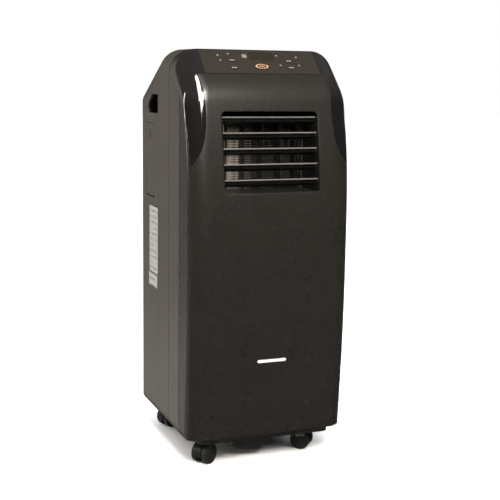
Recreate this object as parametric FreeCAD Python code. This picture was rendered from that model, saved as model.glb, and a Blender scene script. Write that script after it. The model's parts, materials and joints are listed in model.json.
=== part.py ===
import FreeCAD, Part
import math
import os

V = FreeCAD.Vector

# Portable air conditioner: moulded casings round a refrigeration circuit, on four casters.
# Millimetres, +Z up, front towards -Y, floor at Z = 0, X = 0 on the plane of symmetry.

# ---- cabinet -------------------------------------------------------------------------------
HALF_WIDTH = 149.5
TOP = 729.0
BOTTOM = 39.0
TOP_CORNER = 44.0          # radius of the arch at the two top corners
FOOT_CORNER = 25.0         # radius at the two bottom corners
WALL = 2.5
FRONT_WALL = 4.0
SEAM = 1.5                 # width of the open groove between two casings
SEAM_REAR = -31.0          # groove between rear casing and front frame
SEAM_FRONT = -91.35        # groove between front frame and front cover
REAR = 149.6
CREASE = 30.0              # the roof starts to fall towards the rear here
ROOF_END = 665.0           # height of the falling roof at the rear wall
SCORE_LINE = 37.0          # shallow upright line down both side walls
REAR_CORNER = 12.0
ROOF_CORNER = 26.0
FIT = 0.3                  # gap between neighbouring casings

# ---- front profile at the middle plane: (y, z) ----------------------------------------------
FOOT = (-152.0, 54.0)
BELLY = (-163.0, 330.0)
SHOULDER = (-130.0, 640.0)
PANEL_FOOT = (-106.35, 687.4)
PANEL_HEAD = (-61.0, 728.7)
# where the front meets the side walls: (z, y)
SIDE_EDGE = [(25, -121.4), (105, -127.8), (195, -134.0), (290, -137.2), (390, -137.9), (475, -137.1),
             (536, -133.0), (577, -126.8), (609, -119.3), (649, -108.1), (688, -67.6), (710, -43.5),
             (729, -23.4), (745, -6.0)]
ROUND_WIDTH = 34.0         # width of the rounded front edges low down
PANEL_HALF = 107.5         # half width of the control panel
EDGE_FULLNESS = 0.93       # share of a quarter ellipse that a front edge turns through
# inner outline of the two tails of the fascia: (x, z)
TAIL = [(145.5, 531), (130, 554), (122, 575), (118.5, 593), (116.5, 619), (117.5, 650), (121.5, 687.4)]
TAIL_TIP = 531.0
# outer outline of the tails, seen from the side: (y, z)
TAIL_SIDE = [(-138.7, 531), (-136.5, 545), (-134.9, 556), (-132.8, 566), (-130.3, 577), (-127.3, 588),
             (-124.3, 598), (-120.1, 609), (-115.6, 620), (-109.5, 630), (-102.6, 640), (-93.2, 649)]
FASCIA_KNEE = (-43.5, 677.0)

# ---- air outlet -----------------------------------------------------------------------------
OUTLET_HALF = 89.0
OUTLET_LOW = 486.0
OUTLET_HIGH = 624.6
OUTLET_CORNER = 8.0
BLADE_COUNT = 5
BLADE_TOP = 615.0
BLADE_PITCH = 26.5
BLADE_CHORD = 24.0
BLADE_TILT = 33.0
BLADE_SET_BACK = 5.0
BLADE_THICK = 2.0
BLADE_HALF = 86.5
BLADE_PIN = 1.5
LINK_X = -78.0
LINK_REACH = 10.0
LINK_PIN = 1.0
VANE_COUNT = 5
VANE_PITCH = 34.0
VANE_Y = -91.0
VANE_HALF_CHORD = 12.0
VANE_THICK = 1.6
VANE_LOW = 489.5
VANE_HIGH = 621.5
VANE_LINK_Z = 494.0
GUARD_Y = -72.0

# ---- controls, in the panel's own frame: x, s up the slope, n out of it ----------------------
PANEL_THICK = 2.2
KEY_PROUD = 0.5
KEY_STEM = 11.0
KEYS = {"fan_key": (-52.0, 3.6, 17.0, 8.0), "mode_key": (-52.0, -15.7, 17.0, 7.0),
        "up_key": (55.0, 3.9, 16.0, 9.0), "down_key": (55.0, -13.5, 16.0, 8.0)}
POWER = (0.0, -12.0, 26.0, 12.5)
DISPLAY = (5.0, 14.0, 44.0, 19.0)
LAMPS = [(-75.0, 15.6), (-55.0, 20.0), (-73.0, 3.1), (35.0, 17.0), (72.0, 13.4), (36.3, -7.6),
         (72.0, -7.3)]
TIMER_WINDOW = (-26.0, 14.5, 9.0, 9.0)

# ---- rear -----------------------------------------------------------------------------------
INTAKE_HALF = 104.0
INTAKE_LOW = 442.0
INTAKE_HIGH = 602.0
LOW_INTAKE = (-118.0, 118.0, 78.0, 250.0)
COLLAR_X = 38.0
COLLAR_Z = 341.0
COLLAR_OUT = 71.0
COLLAR_SLEEVE = 69.3       # the part of the collar inside the casing
COLLAR_IN = 67.5
COLLAR_END = 163.0
DRAIN = (-96.0, 58.0)
GLAND = (122.0, 275.0)
SCREWS = [(x, z) for x in (-138.0, 138.0) for z in (60.0, 262.0, 425.0, 612.0)]
SCREW_R = 1.8

# ---- inside ---------------------------------------------------------------------------------
PAN = (-125.0, 125.0, -138.0, 138.0)
PAN_Z = 41.0
BLOWER = (0.0, -42.0, 388.0)
BLOWER_R = 74.0
BLOWER_WIDTH = 56.0
FAN = (52.0, 14.0, 204.0)
FAN_R = 68.0
FAN_WIDTH = 46.0
SHAFT_R = 4.0
RUNNING = 0.05             # radial clearance of a turning fit
COMPRESSOR = (-76.0, -42.0)
COMPRESSOR_TOP = 257.0
EVAPORATOR = (-104.0, 104.0, 62.0, 102.0, 430.0, 618.0)
CONDENSER = (-104.0, 112.0, 97.0, 130.0, 62.0, 262.0)
SHELF_Z = 293.0            # underside of the partition's shelf
RISER_Y = 46.0             # rear face of the partition's riser

# ---- casters --------------------------------------------------------------------------------
CASTER_X = 98.2
CASTER_FRONT = -104.0
CASTER_REAR = 104.0
WHEEL_R = 18.0
TRAIL = 11.0
# name: (x, y, heading of the trailing wheel in degrees from +X)
CASTERS = {"front_left": (-CASTER_X, CASTER_FRONT, 215.0),
           "front_right": (CASTER_X, CASTER_FRONT, 140.0),
           "rear_left": (-CASTER_X, CASTER_REAR, 200.0),
           "rear_right": (CASTER_X, CASTER_REAR, 165.0)}


# ---- small tools ----------------------------------------------------------------------------
def box(x0, x1, y0, y1, z0, z1):
    return Part.makeBox(x1 - x0, y1 - y0, z1 - z0, V(x0, y0, z0))


def rod(start, axis, radius, length):
    return Part.makeCylinder(radius, length, V(*start), V(*axis))


def ring(start, axis, outer, inner, length):
    return rod(start, axis, outer, length).cut(rod(start, axis, inner, length))


def join(shapes):
    return shapes[0].multiFuse(shapes[1:]).removeSplitter() if len(shapes) > 1 else shapes[0]


def cut(shape, tools):
    return shape.cut(Part.makeCompound(tools))


def rounded_wire(corners, place):
    """Closed wire through (u, v, radius) corners; place turns (u, v) into a point."""
    arcs = []
    for i, (u, v, radius) in enumerate(corners):
        before = V(corners[i - 1][0] - u, corners[i - 1][1] - v, 0).normalize()
        follow = corners[(i + 1) % len(corners)]
        after = V(follow[0] - u, follow[1] - v, 0).normalize()
        half = before.getAngle(after) / 2
        corner = V(u, v, 0)
        if radius == 0:
            arcs.append((corner, None, corner))
            continue
        reach = radius / math.tan(half)
        inward = (before + after).normalize()
        middle = corner + inward * (radius / math.sin(half) - radius)
        arcs.append((corner + before * reach, middle, corner + after * reach))
    edges = []
    for i, (start, middle, end) in enumerate(arcs):
        last = arcs[i - 1][2]
        if last.distanceToPoint(start) > 1e-6:
            edges.append(Part.LineSegment(place(last.x, last.y), place(start.x, start.y)).toShape())
        if middle is not None:
            points = [place(p.x, p.y) for p in (start, middle, end)]
            edges.append(Part.Arc(*points).toShape())
    return Part.Wire(edges)


def prism_x(corners, x0, x1):
    """Side view outline of (y, z, radius) corners, carried from x0 to x1."""
    return Part.Face(rounded_wire(corners, lambda u, v: V(x0, u, v))).extrude(V(x1 - x0, 0, 0))


def prism_y(corners, y0, y1):
    """Front view outline of (x, z, radius) corners, carried from y0 to y1."""
    return Part.Face(rounded_wire(corners, lambda u, v: V(u, y0, v))).extrude(V(0, y1 - y0, 0))


def prism_z(corners, z0, z1):
    """Plan view outline of (x, y, radius) corners, carried from z0 to z1."""
    return Part.Face(rounded_wire(corners, lambda u, v: V(u, v, z0))).extrude(V(0, 0, z1 - z0))


def oblong(u0, u1, v0, v1, radius):
    return [(u0, v0, radius), (u1, v0, radius), (u1, v1, radius), (u0, v1, radius)]


def pipe(points, radius, bend):
    """Round pipe along straight runs joined by tangent arcs."""
    points = [V(*p) for p in points]
    edges = []
    last = points[0]
    for before, corner, after in zip(points, points[1:], points[2:]):
        back = (before - corner).normalize()
        on = (after - corner).normalize()
        half = back.getAngle(on) / 2
        reach = bend / math.tan(half)
        middle = corner + (back + on).normalize() * (bend / math.sin(half) - bend)
        edges.append(Part.LineSegment(last, corner + back * reach).toShape())
        edges.append(Part.Arc(corner + back * reach, middle, corner + on * reach).toShape())
        last = corner + on * reach
    edges.append(Part.LineSegment(last, points[-1]).toShape())
    circle = Part.Wire(Part.Circle(points[0], points[1] - points[0], radius).toShape())
    return Part.Wire(edges).makePipeShell([circle], True, False)


def smooth(points, at):
    """Value at one place of the smooth curve through (place, value) points."""
    i = max(k for k in range(len(points) - 1) if k == 0 or points[k][0] <= at)

    def slope(k):
        low, high = max(k - 1, 0), min(k + 1, len(points) - 1)
        return (points[high][1] - points[low][1]) / (points[high][0] - points[low][0])

    (p0, v0), (p1, v1) = points[i], points[i + 1]
    span = p1 - p0
    t = (at - p0) / span
    return ((2 * t**3 - 3 * t**2 + 1) * v0 + (t**3 - 2 * t**2 + t) * span * slope(i)
            + (3 * t**2 - 2 * t**3) * v1 + (t**3 - t**2) * span * slope(i + 1))


# ---- the front surface ----------------------------------------------------------------------
def bulge(z, other):
    """Arc that is upright at the belly and passes through the other (y, z) point."""
    rise, run = other[0] - BELLY[0], other[1] - BELLY[1]
    radius = (run**2 + rise**2) / (2 * rise)
    return BELLY[0] + radius - math.sqrt(radius**2 - (z - BELLY[1]) ** 2)


def roll(z):
    """Arc from the shoulder, tangent to the bulge, over to the foot of the control panel."""
    rise, run = SHOULDER[0] - BELLY[0], SHOULDER[1] - BELLY[1]
    lean = math.asin(run / ((run**2 + rise**2) / (2 * rise)))
    back, up = PANEL_FOOT[0] - SHOULDER[0], PANEL_FOOT[1] - SHOULDER[1]
    radius = math.hypot(back, up) / (2 * math.sin(math.atan2(back, up) - lean))
    centre_y = SHOULDER[0] + radius * math.cos(lean)
    centre_z = SHOULDER[1] - radius * math.sin(lean)
    return centre_y - math.sqrt(radius**2 - (z - centre_z) ** 2)


def front_centre(z):
    if z < BELLY[1]:
        return bulge(z, FOOT)
    if z < SHOULDER[1]:
        return bulge(z, SHOULDER)
    if z < PANEL_FOOT[1]:
        return roll(z)
    lean = (PANEL_HEAD[0] - PANEL_FOOT[0]) / (PANEL_HEAD[1] - PANEL_FOOT[1])
    return PANEL_FOOT[0] + (z - PANEL_FOOT[1]) * lean


def front_y(x, z):
    """How far forward the outer surface is at one place of the front view."""
    rise = min(max((z - 540.0) / (PANEL_FOOT[1] - 540.0), 0.0), 1.0)
    flat = HALF_WIDTH - ROUND_WIDTH
    flat += (PANEL_HALF - flat) * rise * rise * (3 - 2 * rise)
    turn = EDGE_FULLNESS * max(abs(x) - flat, 0.0) / (HALF_WIDTH - flat)
    drop = (1 - math.sqrt(1 - turn**2)) / (1 - math.sqrt(1 - EDGE_FULLNESS**2))
    centre = front_centre(z)
    return centre + (smooth(SIDE_EDGE, z) - centre) * drop


def ahead_of_front(inset):
    """Everything in front of the outer surface, or of its copy moved rearward by inset."""
    half = [0, 45, 90, 104, 110, 115, 120, 124, 128, 132, 136, 140, 143.5, 147, 149.5, 151.5]
    across = [-x for x in reversed(half[1:])] + half
    levels = [25 + 15 * i for i in range(49)]
    points = [[V(x, front_y(x, z) + inset, z) for x in across] for z in levels]
    surface = Part.BSplineSurface()
    surface.interpolate(points)
    return surface.toShape().extrude(V(0, -330, 0))


def arch(inset, y0, y1, drop=0.0, low=None):
    """Cabinet section carried from y0 to y1, its roof falling by drop on the way."""
    side = HALF_WIDTH - inset
    top = TOP - inset
    base = BOTTOM + inset if low is None else low
    upper = [(-side, 300, 0), (side, 300, 0), (side, top, TOP_CORNER - inset),
             (-side, top, TOP_CORNER - inset)]
    head = Part.Face(rounded_wire(upper, lambda u, v: V(u, y0, v))).extrude(V(0, y1 - y0, -drop))
    trunk_top = 470.0
    keep = prism_y([(-side, trunk_top, 0), (-side, base, FOOT_CORNER - inset),
                    (side, base, FOOT_CORNER - inset), (side, trunk_top, 0)], y0, y1)
    head = head.common(box(-side - 1, side + 1, y0 - 1, y1 + 1, trunk_top, TOP + 1))
    return head.fuse(keep).removeSplitter()


def rear_body(inset):
    """Solid inside the rear casing's outer skin, or inside its inner skin."""
    start = SEAM_REAR + SEAM / 2
    back = REAR - inset
    fall = (TOP - ROOF_END) / (REAR - CREASE)
    body = arch(inset, start, CREASE).fuse(arch(inset, CREASE, back, fall * (back - CREASE)))
    side = HALF_WIDTH + 5
    corner = REAR_CORNER - inset
    width = HALF_WIDTH - inset
    plan = prism_z([(-width, start - 5, 0), (width, start - 5, 0), (width, back, corner),
                    (-width, back, corner)], BOTTOM - 30, TOP + 5)
    roof = ROOF_END + fall * inset - inset / math.cos(math.atan(fall))
    ridge = roof + fall * (back - CREASE)
    view = prism_x([(start - 5, BOTTOM - 30, 0), (back, BOTTOM - 30, 0), (back, roof, ROOF_CORNER - inset),
                    (CREASE, ridge, 0), (start - 5, ridge, 0)], -side, side)
    return body.removeSplitter().common(plan).common(view)


def open_floor(y0, y1):
    """The bottom of the casings is open between the two rounded bottom corners."""
    return box(-PAN[1] - 1.5, PAN[1] + 1.5, y0, y1, 0, BOTTOM + WALL + 1)


def lifted_foot():
    """The bottom edge of the front rises a little towards the front."""
    return prism_x([(SEAM_REAR, 0, 0), (SEAM_REAR, BOTTOM + 1, 0), (-165, 55.5, 0), (-200, 55.5, 0),
                    (-200, 0, 0)], -HALF_WIDTH - 5, HALF_WIDTH + 5)


def front_shell():
    outer = arch(0, -190, SEAM_REAR - SEAM / 2).cut(ahead_of_front(0))
    inner = arch(WALL, -190, SEAM_REAR + 5).cut(ahead_of_front(FRONT_WALL))
    return cut(outer.cut(inner), [open_floor(-200, 0), lifted_foot()])


def fascia_zone(grow):
    """Everything that belongs to the fascia; grow makes it wider than the fascia itself."""
    side_line = Part.BSplineCurve()
    side_line.interpolate([V(-200, y + grow, z - grow) for y, z in TAIL_SIDE])
    start, end = side_line.value(side_line.FirstParameter), side_line.value(side_line.LastParameter)
    loop = [side_line.toShape()]
    knee = V(-200, FASCIA_KNEE[0], FASCIA_KNEE[1] - grow)
    path = [end, knee, V(-200, SEAM_REAR + 3, 686.5 - grow), V(-200, SEAM_REAR + 3, 800),
            V(-200, -230, 800), V(-200, -230, TAIL_TIP - grow), start]
    loop += [Part.LineSegment(a, b).toShape() for a, b in zip(path, path[1:])]
    side = Part.Face(Part.Wire(loop)).extrude(V(400, 0, 0))
    middle = [V(x - grow, -230, z - grow) for x, z in TAIL]
    tail = Part.BSplineCurve()
    tail.interpolate(middle)
    foot = middle[-1].z
    rim = [middle[-1], V(0, -230, foot), V(0, -230, 800), V(200, -230, 800), V(200, -230, middle[0].z),
           middle[0]]
    edges = [tail.toShape()] + [Part.LineSegment(a, b).toShape() for a, b in zip(rim, rim[1:])]
    front = Part.Face(Part.Wire(edges)).extrude(V(0, 230 + SEAM_REAR + 5, 0))
    mirrored = front.mirror(V(0, 0, 0), V(1, 0, 0))
    return side.common(front.fuse(mirrored))


# ---- the control panel's own frame ----------------------------------------------------------
PANEL_ANGLE = math.degrees(math.atan2(PANEL_HEAD[1] - PANEL_FOOT[1], PANEL_HEAD[0] - PANEL_FOOT[0]))
PANEL_MIDDLE = V(0, (PANEL_FOOT[0] + PANEL_HEAD[0]) / 2, (PANEL_FOOT[1] + PANEL_HEAD[1]) / 2)
PANEL_LENGTH = math.hypot(PANEL_HEAD[0] - PANEL_FOOT[0], PANEL_HEAD[1] - PANEL_FOOT[1])


def on_panel(shape):
    """Stand a shape drawn at the origin onto the sloping control panel."""
    placed = shape.copy()
    placed.Placement = FreeCAD.Placement(PANEL_MIDDLE, FreeCAD.Rotation(V(1, 0, 0), PANEL_ANGLE))
    return placed


def pad(spot, n0, n1, grow=0.0, radius=2.0):
    """Rounded rectangular block at a (x, s, width, length) spot of the panel."""
    x, s, width, length = spot
    w, h = width / 2 + grow, length / 2 + grow
    return prism_z(oblong(x - w, x + w, s - h, s + h, min(radius + grow, w - 0.01, h - 0.01)), n0, n1)


def panel_window(depth):
    """Opening for the panel, with its gap, down to a depth under the panel's face."""
    half = PANEL_LENGTH / 2 - 1
    return on_panel(box(-PANEL_HALF - FIT, PANEL_HALF + FIT, -half, half, -depth, 20))


def control_fascia(shell):
    return shell.common(fascia_zone(0)).cut(panel_window(9))


def control_inlay():
    half = PANEL_LENGTH / 2 - 1 - FIT
    plate = box(-PANEL_HALF, PANEL_HALF, -half, half, -PANEL_THICK, 0)
    holes = [pad(spot, -5, 5, FIT) for spot in list(KEYS.values()) + [DISPLAY, TIMER_WINDOW]]
    holes.append(pad(POWER, -5, 5, FIT, POWER[3] / 2))
    holes += [rod((x, s, -5), (0, 0, 1), 2.0 + FIT, 10) for x, s in LAMPS]
    return on_panel(cut(plate, holes))


def push_key(spot, radius):
    """Key cap with a flange under the panel and a stem that reaches the switch."""
    x, s, width, length = spot
    cap = pad(spot, -PANEL_THICK - 2, KEY_PROUD, 0, radius)
    flange = pad(spot, -PANEL_THICK - 2, -PANEL_THICK - 1, 1.2, radius)
    stem = rod((x, s, -KEY_STEM), (0, 0, 1), 2.5, KEY_STEM - PANEL_THICK - 1)
    return on_panel(join([cap, flange, stem]))


def display_window():
    return on_panel(pad(DISPLAY, -PANEL_THICK, -0.1))


def indicator_lamps():
    lamps = [rod((x, s, -PANEL_THICK - 3), (0, 0, 1), 2.0, PANEL_THICK + 3.1) for x, s in LAMPS]
    return on_panel(Part.makeCompound(lamps + [pad(TIMER_WINDOW, -PANEL_THICK, -0.1)]))


def control_board():
    board = box(-98, 98, -25, 25, -14.6, -13)
    chips = [box(-30, -12, 4, 16, -13, -10), box(14, 26, -20, -12, -13, -11), box(-92, -84, -18, 2, -13, -8)]
    spots = list(KEYS.values()) + [POWER]
    switches = [box(x - 3, x + 3, s - 3, s + 3, -13, -KEY_STEM - 1.2) for x, s, _, _ in spots]
    posts = [rod((x, s, -13.1), (0, 0, 1), 3.0, 13.1 - PANEL_THICK) for x in (-94, 94) for s in (-20, 20)]
    return on_panel(join([board] + chips + switches + posts))


# ---- air outlet -----------------------------------------------------------------------------
def blade_front(i):
    z = BLADE_TOP - BLADE_PITCH * i
    return front_centre(z) + BLADE_SET_BACK, z


def blade_pivot(i):
    y, z = blade_front(i)
    tilt = math.radians(BLADE_TILT)
    return y + BLADE_CHORD / 2 * math.cos(tilt), z - BLADE_CHORD / 2 * math.sin(tilt)


def tilted(shape, y, z):
    """Turn a shape drawn level at the origin to the blades' tilt and take it to (y, z)."""
    placed = shape.copy()
    placed.Placement = FreeCAD.Placement(V(0, y, z), FreeCAD.Rotation(V(1, 0, 0), -BLADE_TILT))
    return placed


def louver_blade(i):
    half = BLADE_CHORD / 2
    section = [(-half, -1.5, 1.2), (-half + 3.5, -BLADE_THICK / 2, 0), (half, -0.6, 0.5),
               (half, 0.6, 0.5), (-half + 3.5, BLADE_THICK / 2, 0), (-half, 1.5, 1.2)]
    leaf = prism_x(section, -BLADE_HALF, BLADE_HALF)
    hub = rod((-BLADE_HALF, 0, 0), (1, 0, 0), 2.6, 2 * BLADE_HALF)
    pins = rod((-BLADE_HALF - 4.5, 0, 0), (1, 0, 0), BLADE_PIN, 2 * BLADE_HALF + 9)
    lug = box(LINK_X - 4.0, LINK_X - 2.2, 2, LINK_REACH + 2, -2, 2)
    link_pin = rod((LINK_X - 3, LINK_REACH, 0), (1, 0, 0), LINK_PIN, 5.5)
    slot = box(LINK_X - 1.6, LINK_X + 1.6, LINK_REACH - 3.2, half + 3, -4, 4)
    return tilted(join([leaf.cut(slot), hub, pins, lug, link_pin]), *blade_pivot(i))


def link_point(i):
    y, z = blade_pivot(i)
    tilt = math.radians(BLADE_TILT)
    return y + LINK_REACH * math.cos(tilt), z - LINK_REACH * math.sin(tilt)


def louver_link():
    points = [link_point(i) for i in range(BLADE_COUNT)]
    bars = []
    for (y0, z0), (y1, z1) in zip(points, points[1:]):
        lean = V(0, y1 - y0, z1 - z0)
        side = V(0, lean.z, -lean.y).normalize() * 1.6
        start, end = V(LINK_X - 1, y0, z0), V(LINK_X - 1, y1, z1)
        flat = [start + side, end + side, end - side, start - side]
        bars.append(Part.Face(Part.makePolygon(flat + flat[:1])).extrude(V(2, 0, 0)))
    eyes = [rod((LINK_X - 1, y, z), (1, 0, 0), 2.2, 2) for y, z in points]
    holes = [rod((LINK_X - 2, y, z), (1, 0, 0), LINK_PIN + (0.06 if i == 0 else 0.25), 4)
             for i, (y, z) in enumerate(points)]
    return cut(join(bars + eyes), holes)


def vane_x(i):
    return (i - (VANE_COUNT - 1) / 2) * VANE_PITCH


def vane(i):
    x = vane_x(i)
    leaf = box(x - VANE_THICK / 2, x + VANE_THICK / 2, VANE_Y - VANE_HALF_CHORD, VANE_Y + VANE_HALF_CHORD,
               VANE_LOW, VANE_HIGH)
    hub = rod((x, VANE_Y, VANE_LOW), (0, 0, 1), 2.2, VANE_HIGH - VANE_LOW)
    pins = rod((x, VANE_Y, VANE_LOW - 5), (0, 0, 1), BLADE_PIN, VANE_HIGH - VANE_LOW + 10)
    notch = box(x - 3, x + 3, VANE_Y + 5.5, VANE_Y + 14, VANE_LINK_Z - 1.8, VANE_LINK_Z + 1.8)
    peg = rod((x, VANE_Y + 9, VANE_LINK_Z - 3), (0, 0, 1), LINK_PIN, 6)
    return join([leaf.cut(notch), hub, pins, peg])


def vane_link():
    y = VANE_Y + 9
    bar = box(vane_x(0) - 3, vane_x(VANE_COUNT - 1) + 3, y - 2, y + 2, VANE_LINK_Z - 1, VANE_LINK_Z + 1)
    holes = [rod((vane_x(i), y, VANE_LINK_Z - 2), (0, 0, 1), LINK_PIN + (0.06 if i == 0 else 0.25), 4)
             for i in range(VANE_COUNT)]
    return cut(bar, holes)


def louver_frame():
    half = OUTLET_HALF + 3
    frame = box(-half, half, -170, GUARD_Y - 2, OUTLET_LOW - 3, OUTLET_HIGH + 3)
    frame = frame.cut(box(-OUTLET_HALF, OUTLET_HALF, -171, GUARD_Y, OUTLET_LOW, OUTLET_HIGH))
    frame = frame.cut(ahead_of_front(FRONT_WALL + FIT))
    holes = [rod((-OUTLET_HALF - 5, *blade_pivot(i)), (1, 0, 0), BLADE_PIN + RUNNING, 2 * OUTLET_HALF + 10)
             for i in range(BLADE_COUNT)]
    holes += [rod((vane_x(i), VANE_Y, OUTLET_LOW - 5), (0, 0, 1), BLADE_PIN + RUNNING, 150)
              for i in range(VANE_COUNT)]
    return cut(frame, holes)


def discharge_guard():
    half = OUTLET_HALF + 3
    plate = box(-half, half, GUARD_Y - 1.5, GUARD_Y, OUTLET_LOW - 3, OUTLET_HIGH + 3)
    columns, rows = 14, 31
    width = (2 * OUTLET_HALF - 4) / columns
    height = (OUTLET_HIGH - OUTLET_LOW - 4) / rows
    cells = []
    for i in range(columns):
        for j in range(rows):
            x, z = -OUTLET_HALF + 2 + i * width, OUTLET_LOW + 2 + j * height
            cells.append(box(x + 0.6, x + width - 0.6, GUARD_Y - 3, GUARD_Y + 2,
                             z + 0.5, z + height - 0.5))
    return cut(plate, cells)


# ---- casings and what is set into them ------------------------------------------------------
def front_cover(shell):
    ahead = box(-160, 160, -200, SEAM_FRONT - SEAM / 2, 0, 760)
    mouth = prism_y(oblong(-OUTLET_HALF, OUTLET_HALF, OUTLET_LOW, OUTLET_HIGH, OUTLET_CORNER), -200, -60)
    return cut(shell.common(ahead), [fascia_zone(FIT), mouth, panel_window(PANEL_THICK + 1)])


def front_frame(shell):
    band = box(-160, 160, SEAM_FRONT + SEAM / 2, SEAM_REAR - SEAM / 2, 0, 760)
    sides = shell.common(band).cut(fascia_zone(FIT))
    brace = box(-HALF_WIDTH + 1, HALF_WIDTH - 1, -84, -66, 642, 645)
    return join([sides, brace])


HANDLE = [(38.0, 614.0, 4.0), (103.0, 614.0, 6.0), (103.0, 630.0, 14.0), (75.0, 648.5, 12.0),
          (38.0, 648.5, 3.0)]
HANDLE_IN = [(35.0, 611.0, 5.0), (106.0, 611.0, 8.0), (106.0, 632.0, 14.0), (76.0, 651.5, 12.0),
             (35.0, 651.5, 4.0)]
HANDLE_DEPTH = 24.0
DOOR = (60.0, 113.5, 459.0, 595.0)      # y0, y1, z0, z1 of the remote control pocket
DOOR_THICK = 2.4
DOOR_PIVOT = (-146.3, 463.0)            # x, z of the hinge line
POCKET_DEPTH = 24.0
LABELS = [(38.5, 92.5, 316.0, 441.0), (41.5, 96.5, 289.0, 313.5)]
LABEL_THICK = 0.35


def rear_casing():
    shell = rear_body(0).cut(rear_body(WALL))
    mouth = arch(WALL, SEAM_REAR - 5, SEAM_REAR + 8)
    shell = cut(shell, [mouth, open_floor(SEAM_REAR - 5, PAN[3] + 1.5)])
    left, right = -HALF_WIDTH, HALF_WIDTH
    d = POCKET_DEPTH
    y0, y1, z0, z1 = DOOR
    pocket_out = prism_x(oblong(y0 - 2, y1 + 2, z0 - 2, z1 + 2, 6), left + 0.5, left + d + 2)
    pocket = prism_x([(y0, z0, 2), (y1, z0, 2), (y1, z1, 6), (y0, z1, 6)], left - 5, left + d)
    cups = [prism_x(HANDLE_IN, left + 0.5, left + HANDLE_DEPTH + 2),
            prism_x(HANDLE_IN, right - HANDLE_DEPTH - 2, right - 0.5), pocket_out]
    body = join([shell] + cups)
    hollows = [prism_x(HANDLE, left - 5, left + HANDLE_DEPTH),
               prism_x(HANDLE, right - HANDLE_DEPTH, right + 5), pocket,
               prism_y(oblong(-INTAKE_HALF, INTAKE_HALF, INTAKE_LOW, INTAKE_HIGH, 8), REAR - 20, REAR + 5),
               prism_y(oblong(*LOW_INTAKE, 8), REAR - 8, REAR + 5),
               rod((COLLAR_X, REAR - 8, COLLAR_Z), (0, 1, 0), COLLAR_OUT + FIT, 20),
               rod((GLAND[0], REAR - 8, GLAND[1]), (0, 1, 0), 8 + FIT, 20),
               rod((DRAIN[0], REAR - 8, DRAIN[1]), (0, 1, 0), 8 + FIT, 20)]
    hollows += [rod((x, REAR - 8, z), (0, 1, 0), SCREW_R + RUNNING, 20) for x, z in SCREWS]
    hollows += [box(left - 1, left + LABEL_THICK + 0.05, *spot) for spot in LABELS]
    hollows += [box(x, x + 1, SCORE_LINE - 0.4, SCORE_LINE + 0.4, 50, 720) for x in (left - 0.5, right - 0.5)]
    pivots = [rod((DOOR_PIVOT[0], y - 1.5, DOOR_PIVOT[1]), (0, 1, 0), 1.5 + RUNNING, 3) for y in (y0, y1)]
    return cut(body, hollows + pivots)


def pocket_door():
    left = -HALF_WIDTH
    y0, y1, z0, z1 = DOOR
    leaf = prism_x([(y0 + 0.6, z0 + 1.8, 3), (y1 - 0.6, z0 + 1.8, 3), (y1 - 0.6, z1 - 0.6, 5.5),
                    (y0 + 0.6, z1 - 0.6, 5.5)], left, left + DOOR_THICK)
    middle = (y0 + y1) / 2
    grip = prism_x(oblong(middle - 4, middle + 4, z1 - 30, z1 - 12, 3.5), left - 1, left + 0.9)
    barrel = rod((DOOR_PIVOT[0], y0 + 2.2, DOOR_PIVOT[1]), (0, 1, 0), 2.0, y1 - y0 - 4.4)
    pins = rod((DOOR_PIVOT[0], y0 - 1.2, DOOR_PIVOT[1]), (0, 1, 0), 1.5, y1 - y0 + 2.4)
    return join([leaf.cut(grip), barrel, pins])


def side_labels():
    left = -HALF_WIDTH
    return Part.makeCompound([box(left, left + LABEL_THICK, y0 + 0.2, y1 - 0.2, z0 + 0.2, z1 - 0.2)
                              for y0, y1, z0, z1 in LABELS])


def front_badge():
    bar = prism_y(oblong(-27, 27, 188.6, 194.0, 2.4), -175, -140)
    return bar.cut(ahead_of_front(-0.6)).common(ahead_of_front(-0.02))


def slotted(x0, x1, z0, z1, y0, y1, pitch, columns):
    """Rectangular grille plate with rows of level slots."""
    plate = prism_y(oblong(x0, x1, z0, z1, 7), y0, y1)
    width = (x1 - x0 - 12) / columns
    rows = int((z1 - z0 - 12) / pitch)
    start = (z0 + z1 - rows * pitch) / 2
    slots = [box(x0 + 6 + c * width + 2, x0 + 6 + (c + 1) * width - 2, y0 - 1, y1 + 1,
                 start + r * pitch + 1.4, start + (r + 1) * pitch - 1.4)
             for r in range(rows) for c in range(columns)]
    return cut(plate, slots)


def intake_grille():
    gap = 0.5
    half = INTAKE_HALF - gap
    low, high = INTAKE_LOW + gap, INTAKE_HIGH - gap
    face = slotted(-half, half, low, high, REAR - WALL, REAR, 7.6, 3)
    outer = prism_y(oblong(-half, half, low, high, 7), REAR - 14, REAR - 1)
    inner = prism_y(oblong(-half + 2.5, half - 2.5, low + 2.5, high - 2.5, 5), REAR - 15, REAR)
    return join([face, outer.cut(inner)])


def air_filter():
    half = INTAKE_HALF - 3.3
    low, high = INTAKE_LOW + 3.3, INTAKE_HIGH - 3.3
    frame = slotted(-half, half, low, high, REAR - 8, REAR - 4, 19.2, 4)
    mesh = box(-half + 5, half - 5, REAR - 6.4, REAR - 5.8, low + 5, high - 5)
    return join([frame, mesh])


def lower_grille():
    x0, x1, z0, z1 = LOW_INTAKE
    return slotted(x0 + FIT, x1 - FIT, z0 + FIT, z1 - FIT, REAR - WALL, REAR, 7.4, 3)


def exhaust_collar():
    sleeve = rod((COLLAR_X, REAR - 18, COLLAR_Z), (0, 1, 0), COLLAR_SLEEVE, 18.2)
    spout = rod((COLLAR_X, REAR + 0.2, COLLAR_Z), (0, 1, 0), COLLAR_OUT, COLLAR_END - REAR - 0.2)
    flange = rod((COLLAR_X, REAR - WALL - 2.5, COLLAR_Z), (0, 1, 0), COLLAR_OUT + 4, 2.2)
    bore = rod((COLLAR_X, REAR - 30, COLLAR_Z), (0, 1, 0), COLLAR_IN, 60)
    return join([sleeve, spout, flange]).cut(bore)


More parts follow.
